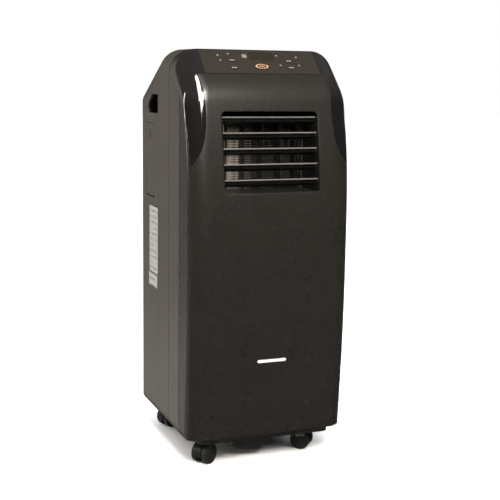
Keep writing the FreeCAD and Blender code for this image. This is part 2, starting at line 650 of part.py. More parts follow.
def cord_gland():
    x, z = GLAND
    body = rod((x, REAR - 14, z), (0, 1, 0), 8, 14 + 2)
    head = rod((x, REAR + 0.1, z), (0, 1, 0), 11, 5)
    corners = [V(12.5, 0, 0), V(6.25, 10.825, 0), V(-6.25, 10.825, 0), V(-12.5, 0, 0), V(-6.25, -10.825, 0),
               V(6.25, -10.825, 0)]
    nut = prism_y([(x + c.x, z + c.y, 0) for c in corners], REAR - 8.6, REAR - WALL - 0.1)
    return join([body, head, nut]).cut(rod((x, REAR - 20, z), (0, 1, 0), 4.2, 40))


def drain_cap():
    x, z = DRAIN
    shell = rod((x, REAR + 2.4, z), (0, 1, 0), 11, 10.8)
    return shell.cut(rod((x, REAR + 2, z), (0, 1, 0), 7.5 + RUNNING, 9))


# ---- inside ---------------------------------------------------------------------------------
def base_pan():
    x0, x1, y0, y1 = PAN
    outer = prism_z(oblong(x0, x1, y0, y1, 12), PAN_Z, PAN_Z + 15)
    inner = prism_z(oblong(x0 + 2.5, x1 - 2.5, y0 + 2.5, y1 - 2.5, 10), PAN_Z + 2.5, PAN_Z + 16)
    bosses = [rod((x, y, PAN_Z), (0, 0, 1), 9, 9) for x, y, _ in CASTERS.values()]
    spigot = rod((DRAIN[0], y1 - 4, DRAIN[1]), (0, 1, 0), 7.5, REAR + 10 - y1 + 4)
    block = box(DRAIN[0] - 11, DRAIN[0] + 11, y1 - 6, y1 + 1, PAN_Z + 2, DRAIN[1] + 11)
    floor = join([outer.cut(inner)] + bosses + [spigot, block])
    holes = [rod((x, y, PAN_Z - 1), (0, 0, 1), 4 + RUNNING, 12) for x, y, _ in CASTERS.values()]
    holes.append(rod((DRAIN[0], y1 - 8, DRAIN[1]), (0, 1, 0), 5, 40))
    return cut(floor, holes)


def sump_tub():
    outline = [(-70, PAN_Z - 0.1, 0), (-70, 33, 4), (-44, 20, 20), (-4, 14, 10), (4, 22, 4),
               (4, PAN_Z - 0.1, 0)]
    block = prism_y(outline, -118, -66)
    inside = prism_y([(-67, PAN_Z + 5, 0), (-67, 34, 3), (-44, 22.5, 18), (-5, 17, 8), (1.5, 24, 3),
                      (1.5, PAN_Z + 5, 0)], -115.5, -68.5)
    return block.cut(inside)


def compressor():
    x, y = COMPRESSOR
    pot = rod((x, y, 66), (0, 0, 1), 52, 168)
    pot = pot.fuse(Part.makeSphere(70, V(x, y, 187)).common(rod((x, y, 230), (0, 0, 1), 52, 60)))
    foot = rod((x, y, 58), (0, 0, 1), 40, 10)
    lugs = [prism_z(oblong(x - 46, x + 62, y - 8, y + 8, 7), 58, 61),
            prism_z(oblong(x - 8, x + 8, y - 62, y + 62, 7), 58, 61)]
    grommets = [rod((x + dx, y + dy, PAN_Z + 2.5), (0, 0, 1), 7, 15.6)
                for dx, dy in ((55, 0), (-38, 0), (0, 55), (0, -55))]
    terminal = box(x - 12, x + 12, y - 60, y - 46, 150, 182)
    return join([pot, foot, terminal] + lugs + grommets)


def accumulator_and_pipes():
    """Accumulator with the suction line, the discharge line and the liquid line."""
    x, y = COMPRESSOR[0] + 72, COMPRESSOR[1] - 30
    can = rod((x, y, 90), (0, 0, 1), 15, 110)
    neck = rod((x, y, 198), (0, 0, 1), 8, 10)
    feed = pipe([(x, y, 92), (x, y, 80), (x - 26, y, 80)], 4.0, 6.0)
    warm_end, cold_end = CONDENSER[0] - 0.2, EVAPORATOR[0] - 0.2
    suction = pipe([(x, y, 206), (x, y, 283), (-46, y, 283), (-46, 82, 283), (-126, 82, 283),
                    (-126, 82, 445), (cold_end, 82, 445)], 4.0, 6.0)
    discharge = pipe([(COMPRESSOR[0], COMPRESSOR[1], COMPRESSOR_TOP), (COMPRESSOR[0], COMPRESSOR[1], 272),
                      (COMPRESSOR[0], 88, 272), (-126, 88, 272), (-126, 88, 225), (-126, 113.5, 225),
                      (warm_end, 113.5, 225)], 3.2, 6.0)
    liquid = pipe([(warm_end, 113.5, 90), (-134, 113.5, 90), (-134, 92, 90), (-134, 92, 436),
                   (cold_end, 92, 436)], 2.2, 5.0)
    return Part.makeCompound([join([can, neck, suction, feed]), discharge, liquid])


def coil(x0, x1, y0, y1, z0, z1, rows):
    """Finned coil: fin block, two end plates and the return bends at both ends."""
    fins = box(x0 + 3, x1 - 3, y0, y1, z0, z1)
    step = (x1 - x0 - 6) / 24
    grooves = []
    for i in range(24):
        x = x0 + 3 + step * (i + 0.35)
        grooves += [box(x, x + 0.3 * step, y - 1.5, y + 1.5, z0 - 1, z1 + 1) for y in (y0, y1)]
    plates = [box(x, x + 3, y0 - 2, y1 + 2, z0 - 2, z1 + 2) for x in (x0, x1 - 3)]
    pitch = (z1 - z0) / rows
    bends = []
    for r in range(rows - 1):
        z = z0 + pitch * (r + 1)
        y = (y0 + 9, y1 - 9)[r % 2]
        loop = Part.makeTorus(pitch / 2, 3.6, V(0, y, z), V(0, 1, 0))
        for x, near, far in ((x0, x0 - 30, x0 + 1), (x1, x1 - 1, x1 + 30)):
            bends.append(loop.translated(V(x, 0, 0)).common(box(near, far, y - 5, y + 5, z - 30, z + 30)))
    return join([cut(fins, grooves)] + plates + bends)


def centrifugal_wheel(centre, radius, width, blades):
    """Squirrel cage: back plate with hub, front ring and the blades between them."""
    x, y, z = centre
    back = rod((x, y - width / 2, z), (0, 1, 0), radius, 2)
    rim = ring((x, y + width / 2 - 2, z), (0, 1, 0), radius, radius - 14, 2)
    hub = rod((x, y - width / 2, z), (0, 1, 0), 13, 24)
    leaf = box(x - 0.8, x + 0.8, y - width / 2 + 1, y + width / 2 - 1, z + radius - 14, z + radius - 1)
    leaf.rotate(V(x, y, z + radius - 7), V(0, 1, 0), 28)
    leaves = []
    for i in range(blades):
        turned = leaf.copy()
        turned.rotate(V(x, y, z), V(0, 1, 0), 360 * i / blades)
        leaves.append(turned)
    bore = rod((x, y - width, z), (0, 1, 0), SHAFT_R + RUNNING, 2 * width)
    return join([back, rim, hub] + leaves).cut(bore)


def fan_motor(centre, width, radius, length, brace):
    """Motor in front of a wheel; its shaft turns inside the hub."""
    x, y, z = centre
    face = y - width / 2 - 5
    can = rod((x, face - length, z), (0, 1, 0), radius, length)
    boss = rod((x, face - 1, z), (0, 1, 0), 10, 4)
    shaft = rod((x, face, z), (0, 1, 0), SHAFT_R, 5 + 26)
    middle = face - length / 2
    strap = box(x - brace, x + brace, middle - 6, middle + 6, z - 4, z + 4)
    ears = [box(x + side - 3, x + side + 3, middle - 6, face + 1, z - 9, z + 9) for side in (-brace, brace)]
    return join([can, boss, shaft, strap] + ears)


def scroll(centre, radius, width, x0, x1, z0, z1, mouth):
    """Box shaped volute round a wheel: open at the wheel's inlet side and at the mouth."""
    x, y, z = centre
    y0, y1 = y - width / 2 - 4, y + width / 2 + 4
    outer = prism_y(oblong(x0, x1, z0, z1, 24), y0, y1)
    room = rod((x, y0 + 2.5, z), (0, 1, 0), radius + 8, y1 - y0 - 5)
    inlet = rod((x, y1 - 4, z), (0, 1, 0), radius - 16, 8)
    shaft_way = rod((x, y0 - 1, z), (0, 1, 0), 16, 6)
    return cut(outer, [room, inlet, shaft_way, mouth])


def blower_housing():
    x, y, z = BLOWER
    half = BLOWER_WIDTH / 2 + 1.5
    mouth = box(-BLOWER_R - 8, 10, y - half, y + half, z, z + 120)
    return scroll(BLOWER, BLOWER_R, BLOWER_WIDTH, -96, 96, 298, 474, mouth)


def air_duct():
    """Foam plenum that leads the blower's air forward to the outlet."""
    y0, y1 = GUARD_Y + 0.2, -8.0
    outer = box(-100, 100, y0, y1, 474.2, 640)
    room = box(-OUTLET_HALF, OUTLET_HALF, y0 - 1, y1 - 8, OUTLET_LOW, OUTLET_HIGH)
    throat = box(-BLOWER_R - 8, 10, y0 + 2, y1 - 8, 470, OUTLET_LOW + 1)
    roof = OUTLET_HIGH + 1
    ramp = prism_x([(y1 - 40, roof, 0), (y1 - 7, roof, 0), (y1 - 7, roof - 71, 0)], -OUTLET_HALF, OUTLET_HALF)
    return join([cut(outer, [room, throat]), ramp])


def fan_housing():
    """Volute of the lower fan and the duct that carries its air to the collar at the rear."""
    x, y, z = FAN
    y1 = y + FAN_WIDTH / 2 + 4
    half = FAN_WIDTH / 2 + 1.5
    mouth = box(x - FAN_R - 8, x - 4, y - half, y + half, z + 10, 289.5)
    lower = scroll(FAN, FAN_R, FAN_WIDTH, x - 79, x + 79, 122, SHELF_Z - 1, mouth)
    back = REAR - 20
    duct = join([box(-36, 128, y1 - 2.5, back, 265, SHELF_Z - 0.3),
                 box(-36, 128, RISER_Y + 0.3, back, SHELF_Z - 0.3, 412)])
    rooms = [box(-33.5, 125.5, y1, back - 2.5, 267.5, 290.2),
             box(-33.5, 125.5, RISER_Y + 2.8, back - 2.5, 280, 409.5),
             box(-24.5, 125.5, y1 - 5, y1 + 1, 267.5, 289.5),
             rod((COLLAR_X, back - 10, COLLAR_Z), (0, 1, 0), COLLAR_IN, 20)]
    return cut(join([lower, duct]), rooms)


def partition():
    """Stepped wall between the cold upper and the warm lower half, with the drip tray."""
    shelf = box(-142, 142, -124, RISER_Y, SHELF_Z, SHELF_Z + 2)
    riser = box(-142, 142, RISER_Y - 2, RISER_Y, SHELF_Z, 414)
    tray = box(-142, 142, RISER_Y - 2, 128, 414, 416)
    rim = [box(-142, 142, 126, 128, 414, 426)]
    rim += [box(x, x + 2, RISER_Y - 2, 128, 414, 426) for x in (-142, 140)]
    pipe_way = box(-142.5, -118, 56, 98, 410, 430)
    return join([shelf, riser, tray] + rim).cut(pipe_way)


def electrical_box():
    body = box(101.5, 144, -118, -40, 500, 602)
    inside = box(103.5, 142, -116, -42, 502, 600)
    transformer = box(110, 134, -100, -60, 501, 530)
    return join([body.cut(inside), transformer])


def screws():
    """Fixing screws at the rear, under the front edge and through the base pan."""
    rear = [rod((x, REAR - 4, z), (0, 1, 0), SCREW_R, 4.0).fuse(rod((x, REAR, z), (0, 1, 0), 3.6, 1.6))
            for x, z in SCREWS]
    front = []
    for x in (-72, 67):
        tab = box(x - 7, x + 7, PAN[2] - 6, PAN[2] + 10, PAN_Z - 1.6, PAN_Z - 0.1)
        head = rod((x, PAN[2] + 3, PAN_Z - 3.6), (0, 0, 1), 3.4, 2.1)
        front.append(join([tab, head]))
    return Part.makeCompound(rear + front)


# ---- casters --------------------------------------------------------------------------------
def caster_frame(name):
    """Middle point, direction of travel and axle direction of one caster."""
    x, y, heading = CASTERS[name]
    trail = V(math.cos(math.radians(heading)), math.sin(math.radians(heading)), 0)
    axle = V(-trail.y, trail.x, 0)
    return V(x, y, 0), trail, axle


def caster_fork(name):
    pivot, trail, axle = caster_frame(name)
    hub = pivot + trail * TRAIL + V(0, 0, WHEEL_R)
    hood = Part.makeCylinder(WHEEL_R + 2.0, 11, hub - axle * 5.5, axle)
    keep = Part.makeBox(80, 80, 40, V(-40, -40, WHEEL_R - 5)).translated(pivot)
    crown = Part.makeCylinder(10, 3.4, pivot + V(0, 0, WHEEL_R * 2 + 0.9))
    stem = Part.makeCylinder(4, 17, pivot + V(0, 0, 35))
    top = Part.makeCylinder(7, 1.5, pivot + V(0, 0, 51.5))
    bore = Part.makeCylinder(2.5 + RUNNING, 14, hub - axle * 7, axle)
    return join([hood.common(keep), crown, stem, top]).cut(bore)


def caster_wheels(name):
    pivot, trail, axle = caster_frame(name)
    hub = pivot + trail * TRAIL + V(0, 0, WHEEL_R)
    parts = [Part.makeCylinder(2.5, 26, hub - axle * 13, axle)]
    for side in (-1, 1):
        face = axle * side
        disc = Part.makeCylinder(WHEEL_R, 9.0, hub + face * 6, face)
        dish = Part.makeCylinder(WHEEL_R - 5, 2.0, hub + face * 13.2, face)
        cap = Part.makeCylinder(5, 1.6, hub + face * 12.8, face)
        parts += [disc.cut(dish), cap]
    return join(parts)


def save(name, shape):
    solids = shape.Solids
    piece = solids[0]
    if len(solids) > 1:
        piece = Part.makeCompound(solids)
    piece.exportStep("parts/%s.step" % name)
    print("%-26s solids %2d  valid %s  volume %9.0f" % (name, len(solids), shape.isValid(), shape.Volume))


def main():
    os.makedirs("parts", exist_ok=True)
    shell = front_shell()
    pieces = {
        "front_cover": front_cover(shell), "front_frame": front_frame(shell), "rear_casing": rear_casing(),
        "control_fascia": control_fascia(shell), "control_inlay": control_inlay(),
        "display_window": display_window(), "indicator_lamps": indicator_lamps(),
        "control_board": control_board(), "power_button": push_key(POWER, POWER[3] / 2 - 0.01),
        "louver_link": louver_link(), "vane_link": vane_link(), "louver_frame": louver_frame(),
        "discharge_guard": discharge_guard(), "air_duct": air_duct(), "pocket_door": pocket_door(),
        "side_labels": side_labels(), "front_badge": front_badge(), "intake_grille": intake_grille(),
        "air_filter": air_filter(), "lower_grille": lower_grille(), "exhaust_collar": exhaust_collar(),
        "cord_gland": cord_gland(), "drain_cap": drain_cap(), "base_pan": base_pan(), "sump_tub": sump_tub(),
        "compressor": compressor(), "refrigerant_pipes": accumulator_and_pipes(), "partition": partition(),
        "evaporator_coil": coil(*EVAPORATOR, 8), "condenser_coil": coil(*CONDENSER, 9),
        "blower_wheel": centrifugal_wheel(BLOWER, BLOWER_R, BLOWER_WIDTH, 30),
        "blower_motor": fan_motor(BLOWER, BLOWER_WIDTH, 36, 42, 100), "blower_housing": blower_housing(),
        "condenser_fan": centrifugal_wheel(FAN, FAN_R, FAN_WIDTH, 28),
        "fan_motor": fan_motor(FAN, FAN_WIDTH, 32, 40, 70), "fan_housing": fan_housing(),
        "electrical_box": electrical_box(), "screws": screws(),
    }
    for name, spot in KEYS.items():
        pieces[name] = push_key(spot, 2.0)
    for i in range(BLADE_COUNT):
        pieces["louver_blade_%d" % (i + 1)] = louver_blade(i)
    for i in range(VANE_COUNT):
        pieces["vane_%d" % (i + 1)] = vane(i)
    for name in CASTERS:
        pieces["caster_fork_" + name] = caster_fork(name)
        pieces["caster_wheels_" + name] = caster_wheels(name)
    for name, shape in pieces.items():
        save(name, shape)
    print(len(pieces), "nodes")


main()
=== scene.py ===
import json
import math

import bmesh
import bpy
from mathutils import Matrix, Vector


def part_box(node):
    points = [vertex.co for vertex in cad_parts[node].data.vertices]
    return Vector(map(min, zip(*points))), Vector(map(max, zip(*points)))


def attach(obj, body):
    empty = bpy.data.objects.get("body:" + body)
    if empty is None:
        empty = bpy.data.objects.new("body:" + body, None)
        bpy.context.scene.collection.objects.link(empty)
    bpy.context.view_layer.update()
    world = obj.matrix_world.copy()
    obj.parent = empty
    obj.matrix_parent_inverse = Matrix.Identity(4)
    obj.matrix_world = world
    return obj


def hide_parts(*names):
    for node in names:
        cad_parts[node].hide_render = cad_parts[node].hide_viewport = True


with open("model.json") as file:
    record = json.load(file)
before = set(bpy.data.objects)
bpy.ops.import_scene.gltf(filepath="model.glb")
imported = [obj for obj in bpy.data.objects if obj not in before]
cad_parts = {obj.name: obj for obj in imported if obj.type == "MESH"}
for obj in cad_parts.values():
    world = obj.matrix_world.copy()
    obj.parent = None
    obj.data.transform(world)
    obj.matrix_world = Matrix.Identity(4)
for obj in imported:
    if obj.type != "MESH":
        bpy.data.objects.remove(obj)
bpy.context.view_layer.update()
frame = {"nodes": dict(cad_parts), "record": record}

# ---- sizes, in metres, in the frame's own coordinates ----------------------------------------
HALF_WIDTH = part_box("front_cover")[1].x
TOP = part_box("control_fascia")[1].z
BOTTOM = 0.039
TOP_CORNER = 0.044
FOOT_CORNER = 0.025
SEAM_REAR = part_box("control_fascia")[1].y
SEAM_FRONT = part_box("front_cover")[1].y
SKIN = 0.0024
GAP = 0.0003
FOOT = (-0.152, 0.054)
BELLY = (-0.163, 0.330)
SHOULDER = (-0.130, 0.640)
PANEL_FOOT = (-0.10635, 0.6874)
PANEL_HEAD = (-0.061, 0.7287)
PANEL_HALF = 0.1075
# where the front meets the side walls: (z, y)
SIDE_EDGE = [(0.025, -0.1214), (0.105, -0.1278), (0.195, -0.1340), (0.290, -0.1372), (0.390, -0.1379),
             (0.475, -0.1371), (0.536, -0.1330), (0.577, -0.1268), (0.609, -0.1193), (0.649, -0.1081),
             (0.688, -0.0676), (0.710, -0.0435), (0.729, -0.0234), (0.745, -0.0060)]
ROUND_WIDTH = 0.034
EDGE_FULLNESS = 0.93
# inner outline of the fascia's tails: (z, x)
TAIL = [(0.531, 0.1455), (0.554, 0.1300), (0.575, 0.1220), (0.593, 0.1185), (0.619, 0.1165),
        (0.650, 0.1175), (0.6874, 0.1215)]
# outer outline of the tails, seen from the side: (z, y)
TAIL_SIDE = [(0.531, -0.1387), (0.545, -0.1365), (0.556, -0.1349), (0.566, -0.1328), (0.577, -0.1303),
             (0.588, -0.1273), (0.598, -0.1243), (0.609, -0.1201), (0.620, -0.1156), (0.630, -0.1095),
             (0.640, -0.1026), (0.649, -0.0932)]
FASCIA_KNEE = (0.677, -0.0435)
FASCIA_REAR = (0.6865, -0.028)              # where the fascia's lower edge meets the rear seam
OUTLET = (0.089, 0.486, 0.6246, 0.008)      # half width, low, high, corner radius

# ---- levels and widths of the two skins' grids -----------------------------------------------
COVER_LOW = 0.046                           # the lowest row, before it is bent onto the foot line
FOOT_END = 0.066                            # the rounded foot corners end near here
BELOW_OUTLET = (0.451, 0.466)               # rows get closer together on the way to the outlet
OUTLET_MARGIN = 0.012                       # even columns reach this far past the outlet
COVER_SIDE_TOP = 0.6485
TAIL_SIDE_TOP = 0.649
GAP_GROWTH = 0.01                           # height over which the gap opens from the tail's tip
LEDGE = 0.00067                             # how much shorter than its slope the panel's window is
EDGE_STEP = 0.0004
ROOF_STEP = 0.0009
CORNER_REACH = 0.0009                       # points this near a corner arc of the outlet are moved to it
WELD = 2e-5

# ---- what the casings' material picks out ----------------------------------------------------
# the carrying recess and the line round the door below get painted shade
HANDLE = (0.0715, 0.632)                    # middle of the carrying recess: y, z
HANDLE_REACH = (0.038, 0.0225)
DOOR = (0.08675, 0.527)                     # middle of the pocket door: y, z
DOOR_OUTER = (0.02755, 0.0688)
DOOR_INNER = (0.0266, 0.0678)
POWER_KEY = (-0.0926, 0.013, 0.0046)        # y of its middle, half width, half depth seen from above

# ---- studio ----------------------------------------------------------------------------------
WARM = (1.0, 0.94, 0.86)
WHITE = (1.0, 1.0, 1.0)
SKY_POWER = 9000
ROOM = 0.04
CEILING = 0.16
LEFT_REAR_LOW = 0.50
LEFT_REAR_HIGH = 0.26
# lamps: place, target, direction of the second side, two sides, power
STUDIO_LAMPS = {
    "overhead_strip": ((-0.54, -1.52, 2.29), (-0.1, -0.12, 0.64), (-0.29, 0.77, 0.57), (0.34, 2.5), 62),
    "front_box": ((-0.14, -2.22, 2.18), (0, -0.12, 0.65), (0, 0.5, 0.85), (1.0, 0.75), 80),
    "left_strip": ((-2.6, 0.05, 1.45), (-0.1, -0.1, 0.6), (0, 0, 1), (0.22, 1.9), 18),
}
CAMERA_PLACE = (-0.69265, -1.80326, 0.68942)
CAMERA_AZIMUTH = -21.54
CAMERA_PITCH = -9.61
CAMERA_ROLL = -0.84
CAMERA_LENS = 75.4


# ---- the front surface, as the CAD has it ----------------------------------------------------
def smooth(points, at):
    """Value at one place of the smooth curve through (place, value) points."""
    i = max(k for k in range(len(points) - 1) if k == 0 or points[k][0] <= at)

    def slope(k):
        low, high = max(k - 1, 0), min(k + 1, len(points) - 1)
        return (points[high][1] - points[low][1]) / (points[high][0] - points[low][0])

    (p0, v0), (p1, v1) = points[i], points[i + 1]
    span = p1 - p0
    t = (at - p0) / span
    return ((2 * t**3 - 3 * t**2 + 1) * v0 + (t**3 - 2 * t**2 + t) * span * slope(i)
            + (3 * t**2 - 2 * t**3) * v1 + (t**3 - t**2) * span * slope(i + 1))


def bulge(z, other):
    rise, run = other[0] - BELLY[0], other[1] - BELLY[1]
    radius = (run**2 + rise**2) / (2 * rise)
    return BELLY[0] + radius - math.sqrt(radius**2 - (z - BELLY[1]) ** 2)


def roll(z):
    rise, run = SHOULDER[0] - BELLY[0], SHOULDER[1] - BELLY[1]
    lean = math.asin(run / ((run**2 + rise**2) / (2 * rise)))
    back, up = PANEL_FOOT[0] - SHOULDER[0], PANEL_FOOT[1] - SHOULDER[1]
    radius = math.hypot(back, up) / (2 * math.sin(math.atan2(back, up) - lean))
    centre_y = SHOULDER[0] + radius * math.cos(lean)
    centre_z = SHOULDER[1] - radius * math.sin(lean)
    return centre_y - math.sqrt(radius**2 - (z - centre_z) ** 2)


def front_centre(z):
    if z < BELLY[1]:
        return bulge(z, FOOT)
    if z < SHOULDER[1]:
        return bulge(z, SHOULDER)
    if z < PANEL_FOOT[1]:
        return roll(z)
    lean = (PANEL_HEAD[0] - PANEL_FOOT[0]) / (PANEL_HEAD[1] - PANEL_FOOT[1])
    return PANEL_FOOT[0] + (z - PANEL_FOOT[1]) * lean


def front_y(x, z):
    """How far forward the outer surface is at one place of the front view."""
    rise = min(max((z - 0.540) / (PANEL_FOOT[1] - 0.540), 0.0), 1.0)
    flat = HALF_WIDTH - ROUND_WIDTH
    flat += (PANEL_HALF - flat) * rise * rise * (3 - 2 * rise)
    turn = min(EDGE_FULLNESS * max(abs(x) - flat, 0.0) / (HALF_WIDTH - flat), 0.995)
    drop = (1 - math.sqrt(1 - turn**2)) / (1 - math.sqrt(1 - EDGE_FULLNESS**2))
    centre = front_centre(z)
    return centre + (smooth(SIDE_EDGE, z) - centre) * drop


def half_width(z):
    """Half width of the cabinet's section at one height."""
    if z < BOTTOM + FOOT_CORNER:
        down = min(BOTTOM + FOOT_CORNER - z, FOOT_CORNER)
        return HALF_WIDTH - FOOT_CORNER + math.sqrt(FOOT_CORNER**2 - down**2)
    if z > TOP - TOP_CORNER:
        up = min(z - TOP + TOP_CORNER, TOP_CORNER)
        return HALF_WIDTH - TOP_CORNER + math.sqrt(TOP_CORNER**2 - up**2)
    return HALF_WIDTH


def steps(stops):
    """Places from (place, number of steps to the next) stops."""
    places = []
    for (a, count), (b, _) in zip(stops, stops[1:]):
        places += [a + (b - a) * i / count for i in range(count)]
    return places + [stops[-1][0]]


# ---- mesh tools ------------------------------------------------------------------------------
def new_object(name, mesh):
    piece = bpy.data.objects.new(name, mesh)
    bpy.context.scene.collection.objects.link(piece)
    return piece


def add_grid(bm, rows, keep=lambda centre: True):
    """Faces between rows of points; keep says which faces stay, by their centres."""
    lines = [[bm.verts.new(p) for p in row] for row in rows]
    for low, high in zip(lines, lines[1:]):
        for i in range(len(low) - 1):
            corners = [low[i], low[i + 1], high[i + 1], high[i]]
            centre = sum((v.co for v in corners), Vector()) / 4
            if keep(centre):
                bm.faces.new(corners)


def tidy(bm):
    bmesh.ops.remove_doubles(bm, verts=bm.verts, dist=WELD)
    bmesh.ops.dissolve_degenerate(bm, edges=bm.edges, dist=1e-6)
    loose = [v for v in bm.verts if not v.link_faces]
    bmesh.ops.delete(bm, geom=loose, context="VERTS")
    face_outward(bm)


def shell_piece(name, bm, thickness, bevel):
    """Finish an outer skin as a moulded shell: thickness inward and softened edges."""
    tidy(bm)
    mesh = bpy.data.meshes.new(name)
    bm.to_mesh(mesh)
    bm.free()
    piece = new_object(name, mesh)
    solid = piece.modifiers.new("thickness", "SOLIDIFY")
    solid.thickness = thickness
    solid.offset = -1
    solid.use_quality_normals = True
    edge = piece.modifiers.new("edges", "BEVEL")
    edge.width = bevel
    edge.segments = 2
    edge.limit_method = "ANGLE"
    edge.angle_limit = math.radians(55)
    edge.harden_normals = False
    for polygon in mesh.polygons:
        polygon.use_smooth = True
    mesh.set_sharp_from_angle(angle=math.radians(38))
    return piece


def put_material(piece, material):
    piece.data.materials.clear()
    piece.data.materials.append(material)


# ---- front cover -----------------------------------------------------------------------------
def foot_line(y):
    """Height of the cover's bottom edge at one depth."""
    return 0.040 + (SEAM_REAR - y) / (SEAM_REAR + 0.165) * 0.0155


def outlet_outline(x, z):
    """Nearest point of the air outlet's corner arc."""
    half, low, high, corner = OUTLET
    cx = math.copysign(half - corner, x)
    cz = min(max(z, low + corner), high - corner)
    away = Vector((x - cx, z - cz)).normalized() * corner
    return cx + away.x, cz + away.y


def in_outlet(x, z):
    half, low, high, corner = OUTLET
    if abs(x) >= half or not low < z < high:
        return False
    cz = min(max(z, low + corner), high - corner)
    if abs(x) > half - corner and cz != z:
        return math.hypot(abs(x) - half + corner, z - cz) < corner
    return True


def side_line(z):
    """Depth of the fascia's lower edge on the side, at one height."""
    if z < TAIL_SIDE[-1][0]:
        return smooth(TAIL_SIDE, z)
    (z0, y0), (z1, y1), (z2, y2) = TAIL_SIDE[-1], FASCIA_KNEE, FASCIA_REAR
    if z < z1:
        return y0 + (z - z0) / (z1 - z0) * (y1 - y0)
    return y1 + (z - z1) / (z2 - z1) * (y2 - y1)


def crossing(z):
    """Where the side line leaves the rounded front, as (x, y); further back it is on the side wall."""
    y = side_line(z)
    edge = half_width(z)
    if y > front_y(edge, z):
        return edge, y
    low, high = 0.10, edge
    for _ in range(40):
        middle = (low + high) / 2
        if front_y(middle, z) < y:
            low = middle
        else:
            high = middle
    return low, y


def eased(x0, x1, count):
    """Places from x0 to x1, closer together towards x1, where the surface turns most."""
    return [x0 + (x1 - x0) * (1 - (1 - i / count) ** 1.35) for i in range(count + 1)]


def wall(x, y0, y1, z_of, count=14):
    """Points along the side wall, rearward from y0 to y1."""
    places = steps([(y0, count), (y1, 1)])[1:]
    return [(min(half_width(z_of(y)), x), y, z_of(y)) for y in places]


def mirrored(points):
    return [(-x, y, z) for x, y, z in reversed(points)]


def face_outward(bm):
    """Turn every face away from a point inside the cabinet."""
    for face in bm.faces:
        centre = face.calc_center_median()
        inside = Vector((0, 0.05, min(max(centre.z, 0.1), 0.6)))
        face.normal_update()
        if face.normal.dot(centre - inside) < 0:
            face.normal_flip()


def on_front(places, z):
    return [(x, front_y(x, z), z) for x in places]


def outlet_columns():
    half, _, _, corner = OUTLET
    fixed = half + OUTLET_MARGIN
    return steps([(-fixed, 4), (-half, 8), (-half + corner, 34), (half - corner, 8), (half, 4), (fixed, 1)])


def cover_row(z, z_of, tip_x):
    """One level over the whole width; its columns meet those on both sides of the tails' tips."""
    def place(x):
        level = z_of(front_y(x, z))
        return x, front_y(x, level), level

    edge_z = z_of(smooth(SIDE_EDGE, z))
    fixed = OUTLET[0] + OUTLET_MARGIN
    columns = eased(fixed, tip_x, 22)[1:] + eased(tip_x, half_width(edge_z), 8)[1:]
    right = [place(x) for x in columns]
    right += wall(HALF_WIDTH, right[-1][1], SEAM_FRONT, z_of)
    return mirrored(right) + [place(x) for x in outlet_columns()] + right


def cover_below_outlet(bm):
    """Rows that pass from the sloping foot line to level."""
    low = OUTLET[1]
    rows = []
    for z in steps([(COVER_LOW, 14), (FOOT_END, 50), (BELOW_OUTLET[0], 3), (BELOW_OUTLET[1], 5), (low, 1)]):
        share = (low - z) / (low - COVER_LOW)
        tip_x = TAIL[0][1] - max(FOOT_END - z, 0) * 0.2
        rows.append(cover_row(z, lambda y, z=z, share=share: z + (foot_line(y) - COVER_LOW) * share, tip_x))
    add_grid(bm, rows)


def cover_round_outlet(bm):
    _, low, high, corner = OUTLET
    tip_z, tip_x = TAIL[0]
    rows = [cover_row(z, lambda y, z=z: z, tip_x) for z in steps([(low, 8), (low + corner, 14), (tip_z, 1)])]
    add_grid(bm, rows, lambda c: not in_outlet(c.x, c.z))

    rows = []
    for z in steps([(tip_z, 30), (high - corner, 8), (high, 24), (PANEL_FOOT[1] - GAP, 1)]):
        edge = smooth(TAIL, z) - gap_at(z)
        right = on_front(eased(OUTLET[0] + OUTLET_MARGIN, edge, 22)[1:], z)
        rows.append(mirrored(right) + on_front(outlet_columns(), z) + right)
    add_grid(bm, rows, lambda c: not in_outlet(c.x, c.z))


def cover_beside_tails(bm):
    tip_z, tip_x = TAIL[0]
    rows = []
    for z in steps([(tip_z, 40), (COVER_SIDE_TOP, 1)]):
        x0, y0 = crossing(z) if z > tip_z else (tip_x, front_y(tip_x, tip_z))
        side = [(x, max(front_y(x, z), y0 + gap_at(z)), z) for x in eased(x0, HALF_WIDTH, 8)]
        rows.append(side + wall(HALF_WIDTH, side[-1][1], SEAM_FRONT, lambda y, z=z: z))
    add_grid(bm, rows)
    add_grid(bm, [mirrored(row) for row in rows])


def gap_at(z):
    """Gap between cover and tail, none at the tail's tip."""
    return GAP * min((z - TAIL[0][0]) / GAP_GROWTH, 1.0)


def round_outlet_corners(bm):
    """Move the points next to the outlet's corner arcs onto them."""
    half, low, high, corner = OUTLET
    for v in bm.verts:
        x, z = v.co.x, v.co.z
        if abs(v.co.y - front_y(x, z)) > 1e-5 or not half - corner < abs(x) <= half + 0.001:
            continue
        if low < z < low + corner or high - corner < z < high:
            away = math.hypot(abs(x) - half + corner, z - min(max(z, low + corner), high - corner))
            if abs(away - corner) < CORNER_REACH:
                x, z = outlet_outline(x, z)
                v.co = (x, front_y(x, z), z)


def build_front_cover():
    bm = bmesh.new()
    cover_below_outlet(bm)
    cover_round_outlet(bm)
    cover_beside_tails(bm)
    round_outlet_corners(bm)
    piece = shell_piece("front_cover_skin", bm, SKIN, 0.0005)
    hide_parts("front_cover")
    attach(piece, "cabinet")
    return piece


# ---- control fascia --------------------------------------------------------------------------
def fascia_tails(bm):
    rows = []
    for z in steps([(TAIL[0][0] + EDGE_STEP, 50), (TAIL_SIDE_TOP, 40), (PANEL_FOOT[1], 1)]):
        x1, y1 = crossing(z)
        front = on_front(eased(smooth(TAIL, z), x1, 26), z)
        rows.append(front + wall(x1, front[-1][1], max(y1, front[-1][1]), lambda y, z=z: z))
    add_grid(bm, rows)
    add_grid(bm, [mirrored(row) for row in rows])


